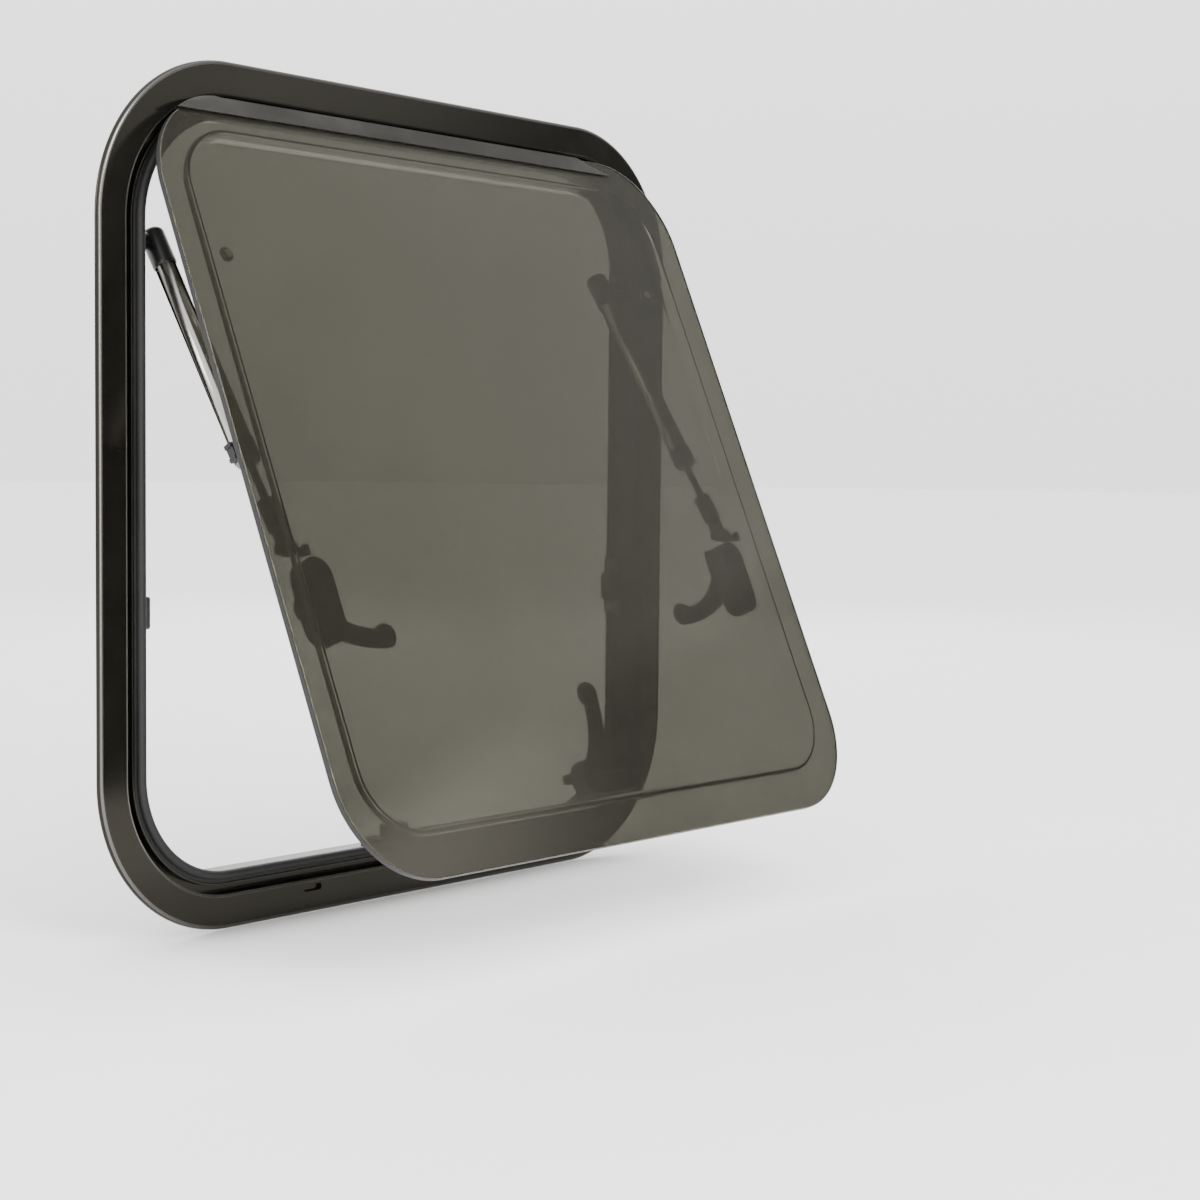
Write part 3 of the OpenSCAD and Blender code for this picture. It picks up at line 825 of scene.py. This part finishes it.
class WINDOW_OT_strip(bpy.types.Operator):
    """Finish the hinge strip and its rail"""

    bl_idname = "window.strip"
    bl_label = "Hinge strip"

    def execute(self, context):
        o = softened("hinge_strip", "sash", FINISH["strip"], 0.2)
        self.lower(o.data)
        self.point(o.data)
        paint("hinge_rail", "rail")
        return {"FINISHED"}

    def lower(self, m):
        """Sets the strip's top face lower, so that a dark gap shows between it and the flange."""
        thick, drop = 1.2 * MM, 0.7 * MM
        top = SASH_TOP + thick
        p = np.zeros(len(m.vertices) * 3)
        m.vertices.foreach_get("co", p)
        p = p.reshape(-1, 3)
        up = np.array([0, math.sin(OPEN), math.cos(OPEN)])
        height = (p - np.array([0, *HINGE])) @ up
        p[np.abs(height - top) < 0.05 * MM] -= drop * up
        m.vertices.foreach_set("co", p.ravel())
        m.update()

    def point(self, m):
        """Cuts the strip's right end off along a slope, so that it runs out in a point at its lower
        edge."""
        x0, x1, z1, off = 162 * MM, 194 * MM, -15.5 * MM, 10 * MM
        places = [(x0, FACE, SASH_TOP), (x1, FACE, z1), (x0, FACE - off, SASH_TOP)]
        high, tip, front = on_sash(np.array(places))
        out = front - high
        normal = Vector(np.cross(out, tip - high)).normalized()
        if normal.x < 0:
            normal = -normal
        b = bmesh.new()
        b.from_mesh(m)
        parts = list(b.verts) + list(b.edges) + list(b.faces)
        cut = bmesh.ops.bisect_plane(
            b, geom=parts, dist=1e-7, plane_co=Vector(high), plane_no=normal, clear_outer=True
        )
        rim = [e for e in cut["geom_cut"] if isinstance(e, bmesh.types.BMEdge)]
        bmesh.ops.holes_fill(b, edges=rim, sides=0)
        bmesh.ops.recalc_face_normals(b, faces=b.faces)
        b.to_mesh(m)
        b.free()
        m.set_sharp_from_angle(angle=math.radians(40))


class WINDOW_OT_stays(bpy.types.Operator):
    """Build the telescopic stays: caps, tubes, collars, tips, rods and eyes"""

    bl_idname = "window.stays"
    bl_label = "Stays"

    def execute(self, context):
        for name, side in SIDES:
            body, rod = "stay_tube_" + name, "stay_rod_" + name
            self.turn("cap_" + name, body, side, "black", dome(-20, 8.0, 7.7, 3.4), "stay_cap_" + name)
            tube = [(-15, 0), (-15, 6.4), (-15.5, 6.8), (-157, 6.8), (-157.5, 6.4), (-157.5, 0)]
            self.turn("tube_" + name, body, side, "chrome", tube, "stay_tube_" + name)
            collar = dome(-160, -147, 7.7, 0.7)
            self.turn("collar_" + name, body, side, "black", collar, "stay_collar_" + name)
            a = np.linspace(0, math.pi / 2, 8)
            nose = np.stack([-159.6 - 3.4 * np.sin(a), 4.0 + 3.2 * np.cos(a)], -1)
            tip = np.concatenate([[(-159, 0), (-159, 7.2)], nose, [(-163, 0)]])
            self.turn("tip_" + name, body, side, "tip", tip)
            self.rivet("pivot_rivet_" + name, side)
            softened("stay_clip_" + name, body, FINISH["black"], 0.4)
            paint(rod, "rod")
            softened("stay_fork_" + name, rod, FINISH["plate"], 0.5)
        return {"FINISHED"}

    def rivet(self, name, side):
        """A low turned rivet head on the inner end of a stay's pivot pin."""
        p, reach = turned(dome(-0.5, 0.5, 2.5, 0.4), 32, 0), 7.8
        p[..., 0] -= side * reach
        shape = Shape().grid(on_stay(p * MM, side), wrap_rows=True)
        piece(name, shape.mesh(name, 40), "frame", FINISH["screw"])

    def turn(self, name, body, side, key, profile, node=None):
        """A turned profile on a stay's line, in millimetres from its upper pivot."""
        shape = Shape().grid(on_stay(turned(profile) * MM, side), wrap_rows=True)
        o = piece(name, shape.mesh(name, 40), body, FINISH[key])
        if node:
            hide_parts(node)


class WINDOW_OT_catches(bpy.types.Operator):
    """Build the catches: oblong bases with spindles, and curved levers"""

    bl_idname = "window.catches"
    bl_label = "Catches"

    def execute(self, context):
        for key in ("left", "right", "bottom"):
            self.base(key)
            self.lever(key)
        return {"FINISHED"}

    def place(self, p, key):
        """Carries points drawn for the left catch, in millimetres from its middle, to the named catch."""
        x, y, z = p[..., 0], p[..., 1], p[..., 2]
        if key == "bottom":
            x, z = -z, x - CATCH_LOW
        else:
            x, z = (CATCH_X - x if key == "right" else x - CATCH_X), z - CATCH_Z
        return on_sash(np.stack([x, y, z], -1) * MM)

    def base(self, key):
        """A pad with a rounded rim and a slightly crowned top, and the turned spindle with its washer
        head."""
        a = np.linspace(0, math.pi / 2, 8)
        rim = np.stack([1.6 * (1 - np.cos(a)), 11.2 + 1.6 * np.sin(a)], -1)
        crown = np.stack([np.linspace(2.2, 11.5, 8), 12.8 + 0.2 * np.sin(a)], -1)
        section = np.concatenate([[(11.5, 0), (0, 0)], rim, crown])
        p = band(24, 54, 12, section, 20)
        p[..., 1] += TRAY
        shape = Shape().grid(self.place(p, key), wrap_rows=True, cap_first=True, cap_last=True)
        for q in (dome(12, 20.2, 4.0, 0.3), dome(20, 21.6, 6.5, 0.6)):
            pin = turned(q, axis=1)
            pin[..., 1] += TRAY
            shape.grid(self.place(pin, key), wrap_rows=True)
        name = "catch_pad_" + key
        piece(name, shape.mesh(name, 40), "sash", FINISH["black"], "catch_base_" + key)

    def lever(self, key):
        """A hub, an arm that bends between two arcs to a rounded bulb, and a thin tongue with a square
        end."""
        pad, run = 13, 0.5
        y0 = TRAY + pad + run
        t = np.linspace(0, 1, 40)
        upper = self.arc((51.6, 39.7), 54.6, 213, 264.5, t)
        lower = self.arc((59.4, 78.6), 106.8, 233, 269.5, t)
        shape = Shape().grid(self.place(self.loft(upper, lower, y0 + 3, 3.0), key), wrap_cols=True)
        hub, bulb = dome(y0, y0 + 6, 9, 1.2), dome(y0 + 0.05, y0 + 5.95, 8.1, 2.6)
        for q, x, z in ((hub, 0, 0), (bulb, 57.6, -20.1)):
            disc = turned(q, 56, 1)
            disc[..., 0] += x
            disc[..., 2] += z
            shape.grid(self.place(disc, key), wrap_rows=True)
        a = np.linspace(0.1, 1, 8) * math.pi / 2
        up = np.concatenate([np.linspace(0, 25, 12), 25 + 1.5 * np.sin(a)])
        close = np.concatenate([np.ones(12), 1 - 0.4 * (1 - np.cos(a))])
        tongue = np.stack([np.full(20, 2.8), up], -1)
        p = bar(tongue, 3.2 * close, 2.0 * close, y0 + 4, 32, 6)
        shape.grid(self.place(np.swapaxes(p, 0, 1), key), wrap_rows=True, cap_first=True, cap_last=True)
        name, lever = "lever_grip_" + key, "lever_" + key
        piece(name, shape.mesh(name, 40), lever, FINISH["black"], lever)

    def arc(self, centre, radius, start, end, t):
        """Points on a circle between two angles in degrees."""
        a = np.radians(start + (end - start) * t)
        return np.stack([centre[0] + radius * np.cos(a), centre[1] + radius * np.sin(a)], -1)

    def loft(self, upper, lower, depth, half):
        """A bar between two edges: round it runs a squarish oval, whose half axes are half of the
        distance between the edges and a half depth."""
        mid, out = (upper + lower) / 2, (upper - lower) / 2
        c, s = squarish(28, 3.0)
        x = mid[:, :1] + out[:, :1] * c
        z = mid[:, 1:] + out[:, 1:] * c
        return np.stack([x, np.broadcast_to(depth + half * s, x.shape), z], -1)


class WINDOW_OT_fittings(bpy.types.Operator):
    """Finish the small fittings: strikers, stay mounts, brackets and vent plugs"""

    bl_idname = "window.fittings"
    bl_label = "Fittings"

    def execute(self, context):
        for key in ("left", "right", "bottom"):
            self.striker(key)
        for key, _ in SIDES:
            self.mount(key)
            self.bracket(key)
            softened("vent_plug_" + key, "sash", FINISH["plug"], 0.6)
        return {"FINISHED"}

    def on_wall(self, p, key):
        """Carries points drawn on the left wall, from the middle of its striker, to the named wall."""
        x, y, z = p[..., 0], p[..., 1], p[..., 2]
        if key == "bottom":
            q = (STRIKER_X - z, y, x + WALL_Z)
        else:
            q = (x - WALL_X if key == "left" else WALL_X - x, y, z + STRIKER_Z)
        return np.stack(q, -1) * MM

    def striker(self, key):
        """A plate with rounded corners, a block that stands on it, and two screw heads."""
        proud = 12.0 if key == "bottom" else 14.5
        shape = Shape()
        plate = slab(box_outline(8.5, 23.6, -22, 22, 2.5), 0, 3.4, 0.9)
        block = slab(box_outline(8.5, 18.2, -10.2, 10.2, 1.6), 1, proud, 1.2)
        for p in (plate, block):
            shape.grid(self.on_wall(p, key), wrap_rows=True, cap_first=True, cap_last=True)
        name = "striker_block_" + key
        piece(name, shape.mesh(name, 40), "frame", FINISH["grey"], "striker_" + key)
        screws = Shape()
        for z in (-16, 16):
            head = turned(dome(2.6, 4.4, 2.5, 0.7), 32, 0)
            head[..., 1] += 18.6
            head[..., 2] += z
            screws.grid(self.on_wall(head, key), wrap_rows=True)
        name = "striker_screws_" + key
        piece(name, screws.mesh(name, 40), "frame", FINISH["screw"])

    def mount(self, key):
        """A plate on the frame's inner wall, a boss and the pin that the stay's cap turns on."""
        side = -1 if key == "left" else 1
        y, z = STAY_TOP / MM
        plate = slab(box_outline(y - 8, y + 8, z - 18, z + 10, 2.0), 0.0, 2.0, 0.5)
        shape = Shape()
        for q in (dome(0.5, 15.8, 5.5, 0.5), dome(15, 30.5, 2.5, 0.4)):
            p = turned(q, 40, 0) + np.array([0, y, z])
            shape.grid(self.off_wall(p, side), wrap_rows=True)
        shape.grid(self.off_wall(plate, side), wrap_rows=True, cap_first=True, cap_last=True)
        name = "stay_pin_" + key
        piece(name, shape.mesh(name, 40), "frame", FINISH["plate"], "stay_mount_" + key)

    def off_wall(self, p, side):
        """Turns a distance off the frame's inner wall into a place on x."""
        return np.stack([side * (WALL_X - p[..., 0]), p[..., 1], p[..., 2]], -1) * MM

    def bracket(self, key):
        """Two webs that hold the stay's eye between them, each with a short foot, and a cross bar."""
        middle = (-1 if key == "left" else 1) * STAY_X / MM
        y0, (y, z) = TRAY, STAY_LOW / MM
        a = np.radians(np.linspace(-20, 190, 24))
        eye = np.stack([y + 5 * np.cos(a), z + 5 * np.sin(a)], -1)
        web = np.concatenate([eye, [(y0, z - 3), (y0, z - 8), (y0 + 4, z - 8)]])
        foot = box_outline(y0, y0 + ARM_T, z - 8, z - 1, 0.5)
        cross = box_outline(y0, y0 + 4, z - 8, z - 8 + ARM_T, 0.4)
        shape = Shape()
        for s in (-1, 1):
            inner, outer = s * (ARM_OUT - ARM_T), s * ARM_OUT
            self.plate(shape, slab(web, inner, outer, 0.3), middle)
            self.plate(shape, slab(foot, inner, s * (ARM_OUT - ARM_T + 5), 0.4), middle)
            rivet = turned(dome(0, 1.3, 3, 0.5), 32, 0)
            rivet = rivet * np.array([s, 1, 1]) + np.array([outer + middle, y, z])
            shape.grid(on_sash(rivet * MM), wrap_rows=True)
        self.plate(shape, slab(cross, -ARM_OUT, ARM_OUT, 0.2), middle)
        name = "stay_foot_" + key
        piece(name, shape.mesh(name, 40), "sash", FINISH["plate"], "stay_bracket_" + key)

    def plate(self, shape, p, middle):
        """Adds a slab to a bracket on the sash, in millimetres, about the stay's own middle."""
        p[..., 0] += middle
        shape.grid(on_sash(p * MM), wrap_rows=True, cap_first=True, cap_last=True)


# Each light's name, place, aim, power in watts, and width and height
LIGHTS = (
    ("key", (-0.5, -2.4, 1.9), (-0.1, 0, 0.4), 60, (1.1, 1.1)),
    ("fill", (2.2, 1.6, 1.8), (0, 0, 0.3), 30, (1.8, 1.8)),
    ("edge", (-2.4, 0.8, 1.2), (-0.2, 0, 0.3), 25, (1.0, 1.0)),
    ("stripe", (-1.0, -2.2, 0.55), (-0.2, 0, 0.3), 22, (0.22, 1.5)),
)
# The card's ends along its own width, and its top, and the brightness that its rims take
CARD, STUDIO = (-2.2, 1.9, 4.2), 2.2
# The camera's axes right, up and back, and its place
CAMERA = (
    (0.665757, -0.746133, 0.007251),
    (0.039574, 0.045011, 0.998202),
    (-0.745118, -0.664274, 0.059494),
    (-1.10866, -1.06947, 0.28656),
)


class WINDOW_OT_stage(bpy.types.Operator):
    """Set up the pale floor, the soft light and the camera"""

    bl_idname = "window.stage"
    bl_label = "Stage"

    def execute(self, context):
        look = context.scene.window_look
        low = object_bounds()[0]
        m = bpy.data.meshes.new("floor")
        r, z = 30.0, low.z - 0.0005
        m.from_pydata([(-r, -r, z), (r, -r, z), (r, r, z), (-r, r, z)], [], [(0, 1, 2, 3)])
        floor = bpy.data.objects.new("floor", m)
        context.scene.collection.objects.link(floor)
        pale = tuple(look.floor_colour)
        m.materials.append(
            finish(
                "Pale floor", pale, 0.85, vary=0.05, grain=60, depth=0.2, specular=0.1,
                tint=[c * 0.99 for c in pale],
            )
        )
        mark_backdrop(floor, self.flag(context.scene))
        self.surround(context.scene, look.light)
        for light in LIGHTS:
            self.softbox(context.scene, *light)
        self.camera(context.scene)
        return {"FINISHED"}

    def surround(self, scene, strength):
        """Soft light from all round, a little dimmer at the horizon, where it meets the floor."""
        w = bpy.data.worlds.new("Soft studio")
        w.use_nodes = True
        t = w.node_tree
        up = split(t, t.nodes.new("ShaderNodeTexCoord").outputs["Generated"])[2]
        back = t.nodes["Background"]
        back.inputs["Color"].default_value = (1, 1, 1, 1)
        t.links.new(spread(t, up, 0.0, 0.35, 0.84 * strength, strength), back.inputs["Strength"])
        scene.world = w

    def flag(self, scene):
        """A dark card in front on the right that only mirrored light meets, as a studio flag: it darkens
        what the frame and the panes reflect. Its glow is a ramp with height, and a band of it fades
        towards one end. Near its rims it grows as bright as the studio behind it, so that no hard edge is
        mirrored."""
        x0, x1, top = CARD
        m = bpy.data.meshes.new("flag")
        m.from_pydata([(x0, 0, 0), (x1, 0, 0), (x1, 0, top), (x0, 0, top)], [], [(0, 1, 2, 3)])
        o = bpy.data.objects.new("flag", m)
        scene.collection.objects.link(o)
        o.location = (1.55, -1.57, -0.01)
        o.rotation_euler = (0, 0, math.radians(45))
        for way in ("camera", "diffuse", "transmission", "volume_scatter", "shadow"):
            setattr(o, "visible_" + way, False)
        card = bpy.data.materials.new("Flag card")
        card.use_nodes = True
        t = card.node_tree
        t.nodes.clear()
        across, _, up = split(t, t.nodes.new("ShaderNodeTexCoord").outputs["Object"])
        lit = times(t, spread(t, up, 0.62, 0.95, 0.0, 2.0), spread(t, up, 0.96, 1.12, 1.0, 0.0))
        lit = times(t, lit, spread(t, across, -0.12, 0.36, 1.0, 0.05))
        crown = times(t, spread(t, up, 0.96, 1.12, 0.0, 1.0), spread(t, across, -0.3, 0.6, 0.14, 0.48))
        glow = maths(t, "ADD", maths(t, "ADD", lit, crown), 0.08)
        ends = times(t, spread(t, across, x0, -0.9, 0.0, 1.0), spread(t, across, 1.0, x1, 1.0, 0.0))
        rims = times(t, spread(t, up, 0.0, 0.2, 0.0, 1.0), spread(t, up, 2.6, top, 1.0, 0.0))
        inside = times(t, ends, rims)
        studio = times(t, maths(t, "SUBTRACT", 1.0, inside), STUDIO)
        glow = maths(t, "ADD", times(t, glow, inside), studio)
        light = t.nodes.new("ShaderNodeEmission")
        t.links.new(glow, light.inputs["Strength"])
        out = t.nodes.new("ShaderNodeOutputMaterial")
        t.links.new(light.outputs[0], out.inputs["Surface"])
        m.materials.append(card)
        return o

    def softbox(self, scene, name, place, aim, power, size):
        """An oblong area light that faces its aim."""
        d = bpy.data.lights.new(name, "AREA")
        d.energy = power
        d.shape = "RECTANGLE"
        d.size, d.size_y = size
        o = bpy.data.objects.new(name, d)
        scene.collection.objects.link(o)
        o.location = place
        o.rotation_euler = (Vector(aim) - Vector(place)).to_track_quat("-Z", "Y").to_euler()

    def camera(self, scene):
        """The photograph's viewpoint."""
        d = bpy.data.cameras.new("view")
        d.sensor_width = 36
        d.lens = 66.58
        d.shift_x = 0.0833
        d.clip_end = 200
        o = bpy.data.objects.new("view", d)
        scene.collection.objects.link(o)
        o.matrix_world = Matrix([*zip(*CAMERA), (0, 0, 0, 1)])
        scene.camera = o


class WINDOW_PT_panel(bpy.types.Panel):
    """Lists the pieces of the window"""

    bl_idname = "WINDOW_PT_panel"
    bl_label = "Caravan window"
    bl_space_type = "VIEW_3D"
    bl_region_type = "UI"
    bl_category = "Window"

    def draw(self, context):
        column = self.layout.column()
        for group in (context.scene.window_sizes, context.scene.window_look):
            for key in group.bl_rna.properties.keys():
                if key not in ("rna_type", "name"):
                    column.prop(group, key)
        for step in STEPS:
            column.operator(step.bl_idname)


STEPS = (
    WINDOW_OT_finishes,
    WINDOW_OT_frame,
    WINDOW_OT_seal,
    WINDOW_OT_panes,
    WINDOW_OT_strip,
    WINDOW_OT_stays,
    WINDOW_OT_catches,
    WINDOW_OT_fittings,
    WINDOW_OT_stage,
)
CLASSES = (WindowSizes, WindowLook, *STEPS, WINDOW_PT_panel)


def register():
    for c in CLASSES:
        bpy.utils.register_class(c)
    bpy.types.Scene.window_sizes = PointerProperty(type=WindowSizes)
    bpy.types.Scene.window_look = PointerProperty(type=WindowLook)


def unregister():
    del bpy.types.Scene.window_sizes
    del bpy.types.Scene.window_look
    for c in reversed(CLASSES):
        bpy.utils.unregister_class(c)


def main():
    """Registers the add-on and runs its steps in order."""
    register()
    for step in STEPS:
        area, name = step.bl_idname.split(".")
        getattr(getattr(bpy.ops, area), name)()


if __name__ == "__main__":
    main()
